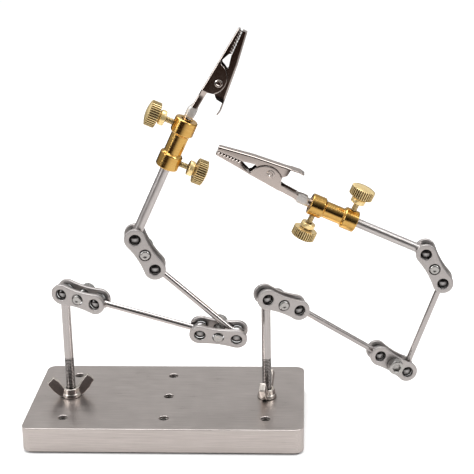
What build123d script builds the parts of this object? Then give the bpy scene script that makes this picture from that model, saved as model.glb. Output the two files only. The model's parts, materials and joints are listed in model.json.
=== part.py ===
from build123d import *
import os
from dataclasses import dataclass

# Double helping hand for bench work: two ball-jointed arms on a heavy steel base, each ending in an
# alligator clip held by a brass coupling. Millimetres and degrees.
# Frame: the origin is the centre of the pad's underside, +X runs to the right along the base, +Y to
# the back and +Z up.

# Base plate and pad
BASE_LENGTH = 139.7
BASE_DEPTH = 76.2
BASE_THICKNESS = 12.7
BASE_CORNER_RADIUS = 4.8
BASE_EDGE_BREAK = 0.5
PAD_THICKNESS = 1.0
PAD_INSET = 1.5
HOLE_PITCH_X = 50.8
HOLE_PITCH_Y = 25.4
HOLE_RADIUS = 2.415
HOLE_COUNTERSINK = 0.4
BASE_TOP = PAD_THICKNESS + BASE_THICKNESS

# Rods and balls
BALL_RADIUS = 3.97
SEAT_CLEARANCE = 0.02
THICK_ROD_RADIUS = 2.38
LINK_ROD_RADIUS = 1.5875
LINK_ROD_LENGTH = 54.0
POST_INSERTION = 10.0
POST_TIP_CHAMFER = 0.6

# Ball clamps: a figure-of-eight plate on each side of two balls
BALL_SPACING = 18.25
PLATE_HALF_GAP = 2.85
PLATE_THICKNESS = 2.0
PLATE_END_RADIUS = 5.3
PLATE_WAIST_HALF_WIDTH = 4.4
PLATE_EDGE_BREAK = 0.35
BALL_HOLE_RADIUS = 2.8
TAPPED_HOLE_RADIUS = 2.43
CLEARANCE_HOLE_RADIUS = 2.6
CLAMP_SCREW_RADIUS = 2.38
CLAMP_SCREW_HEAD_RADIUS = 3.96
CLAMP_SCREW_HEAD_HEIGHT = 4.76
CLAMP_SCREW_STANDOUT = 0.8
CLAMP_SCREW_TIP_CHAMFER = 0.5
HEX_KEY_SIZE = 3.97
HEX_SOCKET_DEPTH = 2.4

# Wing nut
NUT_HEIGHT = 5.0
NUT_BOTTOM_RADIUS = 4.9
NUT_TOP_RADIUS = 4.0
NUT_BORE_RADIUS = 2.44
WING_THICKNESS = 2.6
WING_ROOT = (4.2, 2.6, 1.8)
WING_TIP = (9.2, 8.8, 2.5)

# Brass coupling and its thumb screws
COUPLING_LENGTH = 25.4
COUPLING_END_LENGTH = 8.0
COUPLING_END_RADIUS = 5.55
COUPLING_WAIST_RADIUS = 4.35
COUPLING_BORE_RADIUS = 2.44
COUPLING_EDGE_BREAK = 0.35
END_ROD_REACH = 38.8
END_ROD_INSERTION = 12.0
THUMB_SCREW_INSET = 3.8
THUMB_SCREW_SHANK_RADIUS = 1.5
THUMB_SCREW_HOLE_RADIUS = 1.56
THUMB_SCREW_TIP_GAP = 0.04
THUMB_FLANGE_BOTTOM = 9.7
THUMB_FLANGE_THICKNESS = 2.6
THUMB_FLANGE_RADIUS = 3.7
THUMB_NECK_RADIUS = 2.9
THUMB_HEAD_BOTTOM = 13.2
THUMB_HEAD_RADIUS = 6.2
THUMB_KNURL_LENGTH = 5.0
THUMB_DOME_HEIGHT = 1.0
THUMB_DOME_RADIUS = 5.6

# Alligator clip at full size. Its x axis runs along the tang to the nose, its z axis to the moving jaw,
# and its origin is the centre of the coupling's end face. Points are (x, z), and each row of teeth is
# given by its lowest and highest z.
SHEET = 0.7
TANG_RADIUS = 2.3
TANG_INSERTION = 7.5
TANG_SEAM = 0.8
CRIMP_START = 0.6
CRIMP_END = 8.5
CRIMP_RADIUS = 2.7
CRIMP_TOP = 3.3
CLIP_FLOOR_START = (8.0, -0.6)
CLIP_FLOOR_END = (53.4, 4.8)
NECK_TOP_START = 2.7
NECK_END = (17.4, 3.7)
EAR_CENTRE = (25.4, 1.8)
EAR_RADIUS = 8.9
EAR_BACK_X = 18.4
EAR_FRONT_X = 33.9
EAR_FLARE_LENGTH = 2.4
THROAT_DIP = (35.1, 3.7)
TEETH_START_X = 40.0
TEETH_END_X = 52.8
TOOTH_COUNT = 8
FIXED_TEETH = (6.2, 7.2)
MOVING_TEETH = (7.15, 7.5)
PIVOT = (24.5, 7.2)
RIVET_RADIUS = 1.5
RIVET_BORE_RADIUS = 0.9
RIVET_HEAD_RADIUS = 2.0
RIVET_HEAD_THICKNESS = 0.45
RIVET_CLEARANCE = 0.05
EAR_HALF_WIDTH = 3.6
NECK_HALF_WIDTH = 2.7
NOSE_HALF_WIDTH = 2.3
MOVING_HALF_WIDTH = 2.75
MOVING_NOSE = (53.0, 9.6)
MOVING_BEND = (36.0, 11.9)
MOVING_THROAT = (33.5, 8.4)
MOVING_LOBE_RADIUS = 3.8
MOVING_HEEL = (16.4, 9.2)
LEVER_ROOT = (16.0, 13.4)
LEVER_HALF_WIDTH = 3.3
LEVER_CORNER_RADIUS = 2.2
LEVER_START_X = 19.0
LEVER_START_DROP = 0.225
LEVER_CREST = (11.3, 13.75)
LEVER_END = (8.8, 13.2)
SPRING_WIRE_RADIUS = 0.35
SPRING_LEG_RADIUS = 0.34
SPRING_COIL_RADIUS = 2.2
SPRING_TURNS = 3.5
SPRING_PITCH = 0.8
SPRING_LEG_LENGTH = 9.4
SPRING_LOWER_SLOPE = 20
SPRING_UPPER_SLOPE = 16.5


@dataclass
class ArmPose:
    """The angles an arm is set to, from its post to its clip.

    A heading turns about the vertical. A swing turns within the plane of a clamp's plates, a tilt
    leans a rod out of that plane, and a twist turns about a rod's own axis. The clip on the left arm is
    a size smaller than the one on the right, so each arm also gives its clip's size.
    """

    post_x: float
    ball_height: float
    wing_heading: float
    heading: float
    post_tilt: float
    clamp_1_swing: float
    rod_1_swing: float
    rod_1_tilt: float
    rod_1_twist: float
    clamp_2_tilt: float
    clamp_2_swing: float
    rod_2_swing: float
    rod_2_tilt: float
    rod_2_twist: float
    clamp_3_tilt: float
    clamp_3_swing: float
    end_rod_swing: float
    end_rod_tilt: float
    coupling_turn: float
    clip_turn: float
    clip_size: float
    flipped_clamps: tuple = ()


LEFT_ARM = ArmPose(
    post_x=-HOLE_PITCH_X,
    ball_height=57.8,
    wing_heading=16,
    heading=-15.5,
    post_tilt=1.3,
    clamp_1_swing=-11,
    rod_1_swing=-2,
    rod_1_tilt=6.6,
    rod_1_twist=11,
    clamp_2_tilt=11,
    clamp_2_swing=2,
    rod_2_swing=145,
    rod_2_tilt=6.5,
    rod_2_twist=13.5,
    clamp_3_tilt=-3,
    clamp_3_swing=-17,
    end_rod_swing=-54.5,
    end_rod_tilt=-0.8,
    coupling_turn=180,
    clip_turn=-10,
    clip_size=0.92,
)

RIGHT_ARM = ArmPose(
    post_x=HOLE_PITCH_X,
    ball_height=55.2,
    wing_heading=79,
    heading=17,
    post_tilt=2,
    clamp_1_swing=-25,
    rod_1_swing=-10,
    rod_1_tilt=0,
    rod_1_twist=2,
    clamp_2_tilt=-3,
    clamp_2_swing=0,
    rod_2_swing=107.5,
    rod_2_tilt=-6.5,
    rod_2_twist=-13,
    clamp_3_tilt=1,
    clamp_3_swing=48.5,
    end_rod_swing=36.5,
    end_rod_tilt=-0.5,
    coupling_turn=180,
    clip_turn=0,
    clip_size=1,
    flipped_clamps=(2,),
)

ARMS = {"left": LEFT_ARM, "right": RIGHT_ARM}

# A clamp, a rod and a coupling are drawn lying along local x. A clamp is drawn flat, with its front
# plate upwards, and this turn stands it up so that the front plate faces -Y.
STAND_UP = Rot(90, 0, 0)
ALONG_X = Rot(0, 90, 0)


# ---------------------------------------------------------------- where each body of an arm is

def arm_frames(pose):
    """Frames of an arm's bodies. A clamp's frame is at its incoming ball, with y through the plates."""
    frames = {}
    frames["post"] = Pos(pose.post_x, 0, BASE_TOP)
    frames["wing_nut"] = frames["post"] * Rot(0, 0, pose.wing_heading)
    frames["post_ball"] = frames["post"] * Pos(0, 0, pose.ball_height) * Rot(0, 0, pose.heading)
    leaned = frames["post_ball"] * Rot(pose.post_tilt, 0, 0)
    frames["clamp_1"] = leaned * Rot(0, -pose.clamp_1_swing, 0)
    links = [
        (pose.rod_1_swing, pose.rod_1_tilt, pose.rod_1_twist, pose.clamp_2_tilt, pose.clamp_2_swing),
        (pose.rod_2_swing, pose.rod_2_tilt, pose.rod_2_twist, pose.clamp_3_tilt, pose.clamp_3_swing),
    ]
    for number, (swing, tilt, twist, far_tilt, clamp_swing) in enumerate(links, start=1):
        near = frames[f"clamp_{number}"] * Pos(BALL_SPACING, 0, 0) * Rot(0, -swing, 0)
        rod = near * Rot(0, 0, tilt)
        far = rod * Pos(LINK_ROD_LENGTH, 0, 0) * Rot(twist, 0, 0)
        frames[f"rod_{number}_near_ball"] = near
        frames[f"link_rod_{number}"] = rod
        frames[f"rod_{number}_far_ball"] = far
        frames[f"clamp_{number + 1}"] = far * Rot(0, 0, far_tilt) * Rot(0, -clamp_swing, 0)
    end_ball = frames["clamp_3"] * Pos(BALL_SPACING, 0, 0) * Rot(0, -pose.end_rod_swing, 0)
    frames["end_rod_ball"] = end_ball
    frames["end_rod"] = end_ball * Rot(0, 0, pose.end_rod_tilt)
    coupling = frames["end_rod"] * Pos(END_ROD_REACH, 0, 0) * Rot(pose.coupling_turn, 0, 0)
    frames["coupling"] = coupling
    frames["rod_thumb_screw"] = coupling * Pos(THUMB_SCREW_INSET, 0, 0)
    clip_screw_x = COUPLING_LENGTH - THUMB_SCREW_INSET
    frames["clip_thumb_screw"] = coupling * Pos(clip_screw_x, 0, 0) * Rot(180, 0, 0)
    frames["clip"] = coupling * Pos(COUPLING_LENGTH, 0, 0) * Rot(pose.clip_turn, 0, 0)
    pivot = Pos(pose.clip_size * PIVOT[0], 0, pose.clip_size * PIVOT[1])
    frames["jaw_pivot"] = frames["clip"] * pivot
    return frames


# ---------------------------------------------------------------- base

def hole_places():
    """The nine tapped holes, three by three."""
    return [(i * HOLE_PITCH_X, j * HOLE_PITCH_Y) for i in (-1, 0, 1) for j in (-1, 0, 1)]


def base_plate():
    block = extrude(RectangleRounded(BASE_LENGTH, BASE_DEPTH, BASE_CORNER_RADIUS), BASE_THICKNESS)
    block = chamfer(block.edges().group_by(Axis.Z)[-1], BASE_EDGE_BREAK)
    block = chamfer(block.edges().group_by(Axis.Z)[0], BASE_EDGE_BREAK)
    for x, y in hole_places():
        block -= Pos(x, y, BASE_THICKNESS / 2) * Cylinder(HOLE_RADIUS, BASE_THICKNESS)
        mouth = Cone(HOLE_RADIUS, HOLE_RADIUS + HOLE_COUNTERSINK, HOLE_COUNTERSINK)
        block -= Pos(x, y, BASE_THICKNESS - HOLE_COUNTERSINK / 2) * mouth
    return Pos(0, 0, PAD_THICKNESS) * block


def base_pad():
    length = BASE_LENGTH - 2 * PAD_INSET
    depth = BASE_DEPTH - 2 * PAD_INSET
    return extrude(RectangleRounded(length, depth, BASE_CORNER_RADIUS - PAD_INSET), PAD_THICKNESS)


# ---------------------------------------------------------------- post and wing nut

def ball_recess():
    """The hollow that a ball's surface leaves in the end of a rod, and its seat in a plate."""
    return Sphere(BALL_RADIUS + SEAT_CLEARANCE)


def post(ball_height):
    """A threaded post, drawn from the top of the base, with its thread as a plain cylinder."""
    length = POST_INSERTION + ball_height
    shaft = Pos(0, 0, length / 2 - POST_INSERTION) * Cylinder(THICK_ROD_RADIUS, length)
    shaft = chamfer(shaft.edges().group_by(Axis.Z)[0], POST_TIP_CHAMFER)
    return shaft - Pos(0, 0, ball_height) * ball_recess()


def wing_outline():
    """One wing in the plane of the nut's axis: a round root joined to a larger round tip."""
    root_x, root_z, root_radius = WING_ROOT
    tip_x, tip_z, tip_radius = WING_TIP
    root = Pos(root_x, root_z) * Circle(root_radius)
    tip = Pos(tip_x, tip_z) * Circle(tip_radius)
    return make_hull((root + tip).edges())


def wing_nut():
    hub = Pos(0, 0, NUT_HEIGHT / 2) * Cone(NUT_BOTTOM_RADIUS, NUT_TOP_RADIUS, NUT_HEIGHT)
    wing = STAND_UP * extrude(wing_outline(), WING_THICKNESS / 2, both=True)
    nut = hub + wing + Rot(0, 0, 180) * wing
    return nut - Cylinder(NUT_BORE_RADIUS, 4 * NUT_HEIGHT)


# ---------------------------------------------------------------- ball clamps

def plate_outline():
    """A figure of eight: two round ends joined by hollow sides that are tangent to them."""
    half = BALL_SPACING / 2
    end = PLATE_END_RADIUS
    waist = PLATE_WAIST_HALF_WIDTH
    hollow = (waist**2 + half**2 - end**2) / (2 * (end - waist))
    tangent_x = half * (1 - end / (hollow + end))
    tangent_y = end * (waist + hollow) / (hollow + end)
    outline = [
        ThreePointArc((-tangent_x, tangent_y), (0, waist), (tangent_x, tangent_y)),
        ThreePointArc((tangent_x, tangent_y), (half + end, 0), (tangent_x, -tangent_y)),
        ThreePointArc((tangent_x, -tangent_y), (0, -waist), (-tangent_x, -tangent_y)),
        ThreePointArc((-tangent_x, -tangent_y), (-half - end, 0), (-tangent_x, tangent_y)),
    ]
    return make_face(outline)


def clamp_plate(screw_hole_radius):
    """A plate on the front of the balls, centred on the screw, with a seat for each ball."""
    plate = extrude(plate_outline(), PLATE_THICKNESS)
    plate = chamfer(plate.edges().group_by(Axis.Z)[-1], PLATE_EDGE_BREAK)
    plate = Pos(0, 0, PLATE_HALF_GAP) * plate
    reach = 4 * (PLATE_HALF_GAP + PLATE_THICKNESS)
    plate -= Cylinder(screw_hole_radius, reach)
    for side in (-1, 1):
        at_ball = Pos(side * BALL_SPACING / 2, 0, 0)
        plate -= at_ball * Cylinder(BALL_HOLE_RADIUS, reach)
        plate -= at_ball * ball_recess()
    return plate


def clamp_screw():
    """A socket head screw whose head is behind the back plate and whose tip stands out in front."""
    seat = -PLATE_HALF_GAP - PLATE_THICKNESS
    tip = PLATE_HALF_GAP + PLATE_THICKNESS + CLAMP_SCREW_STANDOUT
    shank = Pos(0, 0, (seat + tip) / 2) * Cylinder(CLAMP_SCREW_RADIUS, tip - seat)
    shank = chamfer(shank.edges().group_by(Axis.Z)[-1], CLAMP_SCREW_TIP_CHAMFER)
    head = Cylinder(CLAMP_SCREW_HEAD_RADIUS, CLAMP_SCREW_HEAD_HEIGHT)
    head = chamfer(head.edges().group_by(Axis.Z)[0], CLAMP_SCREW_TIP_CHAMFER)
    head = Pos(0, 0, seat - CLAMP_SCREW_HEAD_HEIGHT / 2) * head
    socket = extrude(RegularPolygon(HEX_KEY_SIZE / 2, 6, major_radius=False), HEX_SOCKET_DEPTH)
    return shank + head - Pos(0, 0, seat - CLAMP_SCREW_HEAD_HEIGHT) * socket


def clamp_parts(flipped):
    """Front plate, back plate and screw of one clamp. A flipped clamp has its screw head in front."""
    front_hole = CLEARANCE_HOLE_RADIUS if flipped else TAPPED_HOLE_RADIUS
    back_hole = TAPPED_HOLE_RADIUS if flipped else CLEARANCE_HOLE_RADIUS
    turn = Rot(180, 0, 0)
    return {
        "front_plate": clamp_plate(front_hole),
        "back_plate": turn * clamp_plate(back_hole),
        "screw": turn * clamp_screw() if flipped else clamp_screw(),
    }


# ---------------------------------------------------------------- rods

def link_rod():
    """A thin rod between two balls. Each end is hollow, to the shape of its ball."""
    rod = Pos(LINK_ROD_LENGTH / 2, 0, 0) * ALONG_X * Cylinder(LINK_ROD_RADIUS, LINK_ROD_LENGTH)
    return rod - ball_recess() - Pos(LINK_ROD_LENGTH, 0, 0) * ball_recess()


def end_rod():
    """A thick rod from the last ball into the coupling."""
    length = END_ROD_REACH + END_ROD_INSERTION
    rod = Pos(length / 2, 0, 0) * ALONG_X * Cylinder(THICK_ROD_RADIUS, length)
    return rod - ball_recess()


# ---------------------------------------------------------------- coupling and thumb screws

def coupling():
    """A turned brass sleeve with a waist, bored through, with a tapped hole in each end section."""
    end = COUPLING_END_RADIUS
    step = end - COUPLING_WAIST_RADIUS
    edge = COUPLING_EDGE_BREAK
    far = COUPLING_LENGTH - COUPLING_END_LENGTH
    outline = Polyline(
        (0, 0),
        (0, end - edge),
        (edge, end),
        (COUPLING_END_LENGTH - step / 2, end),
        (COUPLING_END_LENGTH, end - step),
        (far, end - step),
        (far + step / 2, end),
        (COUPLING_LENGTH - edge, end),
        (COUPLING_LENGTH, end - edge),
        (COUPLING_LENGTH, 0),
        close=True,
    )
    sleeve = revolve(make_face(outline), Axis.X)
    sleeve -= ALONG_X * Cylinder(COUPLING_BORE_RADIUS, 3 * COUPLING_LENGTH)
    hole = Pos(0, 0, end / 2) * Cylinder(THUMB_SCREW_HOLE_RADIUS, end)
    sleeve -= Pos(THUMB_SCREW_INSET, 0, 0) * hole
    sleeve -= Pos(COUPLING_LENGTH - THUMB_SCREW_INSET, 0, 0) * Rot(180, 0, 0) * hole
    return sleeve


def thumb_screw(gripped_radius):
    """A thumb screw along z, from the surface it grips out to its domed head."""
    tip = gripped_radius + THUMB_SCREW_TIP_GAP
    flange_top = THUMB_FLANGE_BOTTOM + THUMB_FLANGE_THICKNESS
    knurl_top = THUMB_HEAD_BOTTOM + THUMB_KNURL_LENGTH
    crown = knurl_top + THUMB_DOME_HEIGHT
    edge = THUMB_HEAD_RADIUS - THUMB_DOME_RADIUS
    side = Polyline(
        (0, crown),
        (0, tip),
        (THUMB_SCREW_SHANK_RADIUS, tip),
        (THUMB_SCREW_SHANK_RADIUS, THUMB_FLANGE_BOTTOM),
        (THUMB_FLANGE_RADIUS, THUMB_FLANGE_BOTTOM),
        (THUMB_FLANGE_RADIUS, flange_top),
        (THUMB_NECK_RADIUS, flange_top),
        (THUMB_NECK_RADIUS, THUMB_HEAD_BOTTOM),
        (THUMB_HEAD_RADIUS - edge / 2, THUMB_HEAD_BOTTOM),
        (THUMB_HEAD_RADIUS, THUMB_HEAD_BOTTOM + edge / 2),
        (THUMB_HEAD_RADIUS, knurl_top - edge / 2),
        (THUMB_DOME_RADIUS, knurl_top),
    )
    ball = (THUMB_DOME_RADIUS**2 + THUMB_DOME_HEIGHT**2) / (2 * THUMB_DOME_HEIGHT)
    middle = THUMB_DOME_RADIUS / 2
    dome = ThreePointArc(
        (THUMB_DOME_RADIUS, knurl_top),
        (middle, crown - ball + (ball**2 - middle**2) ** 0.5),
        (0, crown),
    )
    profile = STAND_UP * make_face(side.edges() + dome.edges())
    return revolve(profile, Axis.Z)


# ---------------------------------------------------------------- alligator clip

def tooth_line(low_z, high_z):
    """Points of a row of teeth from the back of the mouth to the nose, at the same x in both jaws."""
    pitch = (TEETH_END_X - TEETH_START_X) / TOOTH_COUNT
    points = []
    for tooth in range(TOOTH_COUNT):
        x = TEETH_START_X + tooth * pitch
        points.append((x, low_z))
        points.append((x + pitch / 2, high_z))
    points.append((TEETH_END_X, low_z))
    return points


def floor_z(x):
    """Height of the fixed jaw's outer floor, which slopes up to the nose."""
    (x0, z0), (x1, z1) = CLIP_FLOOR_START, CLIP_FLOOR_END
    return z0 + (z1 - z0) * (x - x0) / (x1 - x0)


def side_slab(points):
    """A solid wide enough for any clip part, cut to a side outline given as (x, z) points."""
    return STAND_UP * extrude(make_face(Polyline(*points, close=True)), 2 * EAR_HALF_WIDTH, both=True)


def plan_slab(stations, inset):
    """A tall solid whose half width is given at stations along x, less an inset on each side."""
    upper = [(x, half - inset) for x, half in stations]
    lower = [(x, inset - half) for x, half in reversed(stations)]
    return extrude(make_face(Polyline(*upper, *lower, close=True)), 4 * EAR_RADIUS, both=True)


def ear_height(x):
    """Height of the ear's round top above the clip's x axis."""
    return EAR_CENTRE[1] + (EAR_RADIUS**2 - (x - EAR_CENTRE[0]) ** 2) ** 0.5


def fixed_jaw_side():
    """Side outline of the fixed jaw: neck, round ears, a dip, and a toothed mouth edge."""
    start_x, start_z = CLIP_FLOOR_START
    nose_x, nose_z = CLIP_FLOOR_END
    ear = ThreePointArc(
        (EAR_FRONT_X, ear_height(EAR_FRONT_X)),
        (EAR_CENTRE[0], EAR_CENTRE[1] + EAR_RADIUS),
        (EAR_BACK_X, ear_height(EAR_BACK_X)),
    )
    teeth = tooth_line(*FIXED_TEETH)
    front = Polyline(
        (EAR_BACK_X, ear_height(EAR_BACK_X)),
        NECK_END,
        (start_x, NECK_TOP_START),
        (start_x, start_z),
        (nose_x, nose_z),
        (nose_x, FIXED_TEETH[0]),
        *reversed(teeth),
        THROAT_DIP,
        (EAR_FRONT_X, ear_height(EAR_FRONT_X)),
    )
    face = make_face(ear.edges() + front.edges())
    return STAND_UP * extrude(face, 2 * EAR_HALF_WIDTH, both=True)


def rolled_tang():
    """The rolled sheet that goes into the coupling, open along a seam."""
    length = TANG_INSERTION + CRIMP_START
    tang = Cylinder(TANG_RADIUS, length) - Cylinder(TANG_RADIUS - SHEET, length)
    tang -= Pos(-TANG_RADIUS, 0, 0) * Box(2 * TANG_RADIUS, TANG_SEAM, length)
    return Pos((CRIMP_START - TANG_INSERTION) / 2, 0, 0) * ALONG_X * tang


def crimp_channel():
    """The round-bottomed channel between the tang and the neck."""
    hollow = CRIMP_RADIUS - SHEET
    section = Circle(CRIMP_RADIUS) + Pos(0, CRIMP_TOP / 2) * Rectangle(2 * CRIMP_RADIUS, CRIMP_TOP)
    section -= Circle(hollow) + Pos(0, CRIMP_TOP) * Rectangle(2 * hollow, 2 * CRIMP_TOP)
    return Pos(CRIMP_START, 0, 0) * extrude(Plane.YZ * section, CRIMP_END - CRIMP_START)


def fixed_jaw():
    """A folded channel: rolled tang, crimp, neck, ears and lower jaw."""
    start_x = CLIP_FLOOR_START[0]
    nose_x = CLIP_FLOOR_END[0]
    inner_start_x = start_x - SHEET
    neck_and_ears = [
        (NECK_END[0] + SHEET / 2 - EAR_FLARE_LENGTH, NECK_HALF_WIDTH),
        (NECK_END[0] + SHEET / 2, EAR_HALF_WIDTH),
        (EAR_FRONT_X, EAR_HALF_WIDTH),
        (TEETH_START_X, MOVING_HALF_WIDTH),
    ]
    outside = [(start_x, NECK_HALF_WIDTH), *neck_and_ears, (nose_x, NOSE_HALF_WIDTH)]
    inside = [(inner_start_x, NECK_HALF_WIDTH), *neck_and_ears, (nose_x - SHEET, NOSE_HALF_WIDTH)]
    above_floor = side_slab([
        (inner_start_x, floor_z(inner_start_x) + SHEET),
        (nose_x, floor_z(nose_x) + SHEET),
        (nose_x, 3 * EAR_RADIUS),
        (inner_start_x, 3 * EAR_RADIUS),
    ])
    body = fixed_jaw_side() & plan_slab(outside, 0)
    body -= plan_slab(inside, SHEET) & above_floor
    body += rolled_tang()
    body += crimp_channel()
    return body - Pos(PIVOT[0], 0, PIVOT[1]) * STAND_UP * Cylinder(RIVET_RADIUS, 4 * EAR_HALF_WIDTH)


def lowered(point):
    """A point one sheet thickness below another."""
    return (point[0], point[1] - SHEET)


def finger_lever():
    """The flat round-cornered plate at the back of the moving jaw, seen from the side then cut in plan."""
    start = (LEVER_START_X, LEVER_ROOT[1] - LEVER_START_DROP)
    side = side_slab([
        lowered(LEVER_END),
        LEVER_END,
        LEVER_CREST,
        LEVER_ROOT,
        start,
        lowered(start),
        lowered(LEVER_ROOT),
        lowered(LEVER_CREST),
    ])
    length = LEVER_START_X - LEVER_END[0]
    plan = RectangleRounded(length, 2 * LEVER_HALF_WIDTH, LEVER_CORNER_RADIUS)
    return side & extrude(Pos(LEVER_END[0] + length / 2, 0) * plan, 3 * EAR_RADIUS)


def moving_jaw():
    """A folded channel, open downwards, whose back runs on past the pivot as a finger lever."""
    pivot_x, pivot_z = PIVOT
    tip_x = CLIP_FLOOR_END[0]
    lobe_x = 0.8 * MOVING_LOBE_RADIUS
    lobe_z = 0.6 * MOVING_LOBE_RADIUS
    outline = [
        (tip_x, MOVING_TEETH[0]),
        MOVING_NOSE,
        MOVING_BEND,
        LEVER_ROOT,
        MOVING_HEEL,
        (pivot_x - lobe_x, pivot_z - lobe_z),
        (pivot_x, pivot_z - MOVING_LOBE_RADIUS),
        (pivot_x + lobe_x, pivot_z - lobe_z),
        MOVING_THROAT,
        *tooth_line(*MOVING_TEETH),
    ]
    front = [(EAR_FRONT_X, MOVING_HALF_WIDTH), (tip_x, NOSE_HALF_WIDTH)]
    behind_x = LEVER_END[0]
    under_back = side_slab([
        (behind_x, 0),
        (tip_x - SHEET, 0),
        (tip_x - SHEET, MOVING_NOSE[1] - SHEET),
        lowered(MOVING_BEND),
        lowered(LEVER_ROOT),
        (behind_x, LEVER_ROOT[1] - SHEET),
    ])
    body = side_slab(outline) & plan_slab([(MOVING_HEEL[0] - 2, MOVING_HALF_WIDTH), *front], 0)
    body -= plan_slab([(behind_x, MOVING_HALF_WIDTH), *front], SHEET) & under_back
    body += finger_lever()
    hole = Cylinder(RIVET_RADIUS + RIVET_CLEARANCE, 4 * EAR_HALF_WIDTH)
    return body - Pos(pivot_x, 0, pivot_z) * STAND_UP * hole


def jaw_rivet():
    """A hollow rivet across the ears, with a flat ring at each end."""
    width = 2 * EAR_HALF_WIDTH
    rivet = Cylinder(RIVET_RADIUS, width)
    for side in (-1, 1):
        head_z = side * (width + RIVET_HEAD_THICKNESS) / 2
        rivet += Pos(0, 0, head_z) * Cylinder(RIVET_HEAD_RADIUS, RIVET_HEAD_THICKNESS)
    rivet -= Cylinder(RIVET_BORE_RADIUS, 2 * width)
    return Pos(PIVOT[0], 0, PIVOT[1]) * STAND_UP * rivet


def jaw_spring():
    """A coil round the rivet with a leg to each jaw, behind the pivot."""
    height = SPRING_TURNS * SPRING_PITCH
    coil_path = Helix(SPRING_PITCH, height, SPRING_COIL_RADIUS)
    wire = Plane(origin=coil_path @ 0, z_dir=coil_path % 0) * Circle(SPRING_WIRE_RADIUS)
    spring = Rot(0, 0, -90) * Pos(0, 0, -height / 2) * sweep(wire, coil_path)
    leg = Cylinder(
        SPRING_LEG_RADIUS,
        SPRING_LEG_LENGTH,
        align=(Align.CENTER, Align.CENTER, Align.MIN),
    )
    for side, slope in ((-1, SPRING_LOWER_SLOPE), (1, SPRING_UPPER_SLOPE)):
        foot = Pos(0, side * SPRING_COIL_RADIUS, side * height / 2)
        spring += foot * Rot(0, 0, -side * slope) * Rot(0, -90, 0) * leg
    return Pos(PIVOT[0], 0, PIVOT[1]) * STAND_UP * spring


def sized(shape, size):
    """A clip piece at another size, nearer to or further from the clip's origin to match."""
    return Pos((size - 1) * shape.location.position) * scale(shape, by=size)


# ---------------------------------------------------------------- assembly

BALLS = (
    "post_ball",
    "rod_1_near_ball",
    "rod_1_far_ball",
    "rod_2_near_ball",
    "rod_2_far_ball",
    "end_rod_ball",
)


def arm_parts(side, pose):
    """All the pieces of one arm, each in its place, by node name."""
    frames = arm_frames(pose)
    parts = {
        "post": frames["post"] * post(pose.ball_height),
        "wing_nut": frames["wing_nut"] * wing_nut(),
        "link_rod_1": frames["link_rod_1"] * link_rod(),
        "link_rod_2": frames["link_rod_2"] * link_rod(),
        "end_rod": frames["end_rod"] * end_rod(),
        "coupling": frames["coupling"] * coupling(),
        "rod_thumb_screw": frames["rod_thumb_screw"] * thumb_screw(THICK_ROD_RADIUS),
        "clip_thumb_screw": frames["clip_thumb_screw"] * thumb_screw(pose.clip_size * TANG_RADIUS),
    }
    clip = {
        "fixed_jaw": fixed_jaw(),
        "moving_jaw": moving_jaw(),
        "jaw_rivet": jaw_rivet(),
        "jaw_spring": jaw_spring(),
    }
    for piece, shape in clip.items():
        parts[piece] = frames["clip"] * sized(shape, pose.clip_size)
    for ball in BALLS:
        parts[ball] = frames[ball] * Sphere(BALL_RADIUS)
    for number in (1, 2, 3):
        middle = frames[f"clamp_{number}"] * Pos(BALL_SPACING / 2, 0, 0) * STAND_UP
        for piece, shape in clamp_parts(number in pose.flipped_clamps).items():
            parts[f"clamp_{number}_{piece}"] = middle * shape
    return {f"{side}_{name}": shape for name, shape in parts.items()}


def all_parts():
    parts = {"base_plate": base_plate(), "base_pad": base_pad()}
    for side, pose in ARMS.items():
        parts.update(arm_parts(side, pose))
    return parts


if __name__ == "__main__":
    os.makedirs("parts", exist_ok=True)
    for name, shape in all_parts().items():
        shape.label = name
        export_step(shape, f"parts/{name}.step")
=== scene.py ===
import json
import math

import bmesh
import bpy
from mathutils import Matrix, Vector


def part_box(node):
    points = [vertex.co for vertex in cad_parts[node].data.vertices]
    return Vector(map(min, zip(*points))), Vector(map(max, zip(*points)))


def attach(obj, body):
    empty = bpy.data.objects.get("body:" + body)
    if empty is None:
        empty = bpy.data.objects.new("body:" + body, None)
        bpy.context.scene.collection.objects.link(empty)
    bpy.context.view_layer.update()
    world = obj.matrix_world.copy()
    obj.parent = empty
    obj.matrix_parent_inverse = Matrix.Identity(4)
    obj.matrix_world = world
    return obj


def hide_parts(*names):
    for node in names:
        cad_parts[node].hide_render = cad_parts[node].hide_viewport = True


# The looks of a double helping hand: two ball-jointed arms on a drilled steel base, each ending in an
# alligator clip held by a brass coupling. Every piece is drawn in millimetres in its own local frame,
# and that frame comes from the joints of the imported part.

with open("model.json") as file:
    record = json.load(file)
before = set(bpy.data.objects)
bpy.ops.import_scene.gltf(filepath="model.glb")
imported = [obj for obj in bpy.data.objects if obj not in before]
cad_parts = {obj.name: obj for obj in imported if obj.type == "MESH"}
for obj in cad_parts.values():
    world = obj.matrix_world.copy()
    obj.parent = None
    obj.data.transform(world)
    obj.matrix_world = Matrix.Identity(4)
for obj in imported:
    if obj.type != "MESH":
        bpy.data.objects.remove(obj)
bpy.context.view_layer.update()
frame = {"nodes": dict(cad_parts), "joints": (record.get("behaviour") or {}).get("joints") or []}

JOINTS = {joint["name"]: joint for joint in frame["joints"]}
MM = 0.001
MERGE_DISTANCE = 1e-4

# Base
BASE_CORNER_RADIUS = 4.8
BASE_EDGE_RADIUS = 0.4
PAD_CORNER_RADIUS = 3.3
PAD_EDGE_RADIUS = 0.2
HOLE_RADIUS = 2.415
HOLE_PITCH_X = 50.8
HOLE_PITCH_Y = 25.4

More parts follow.
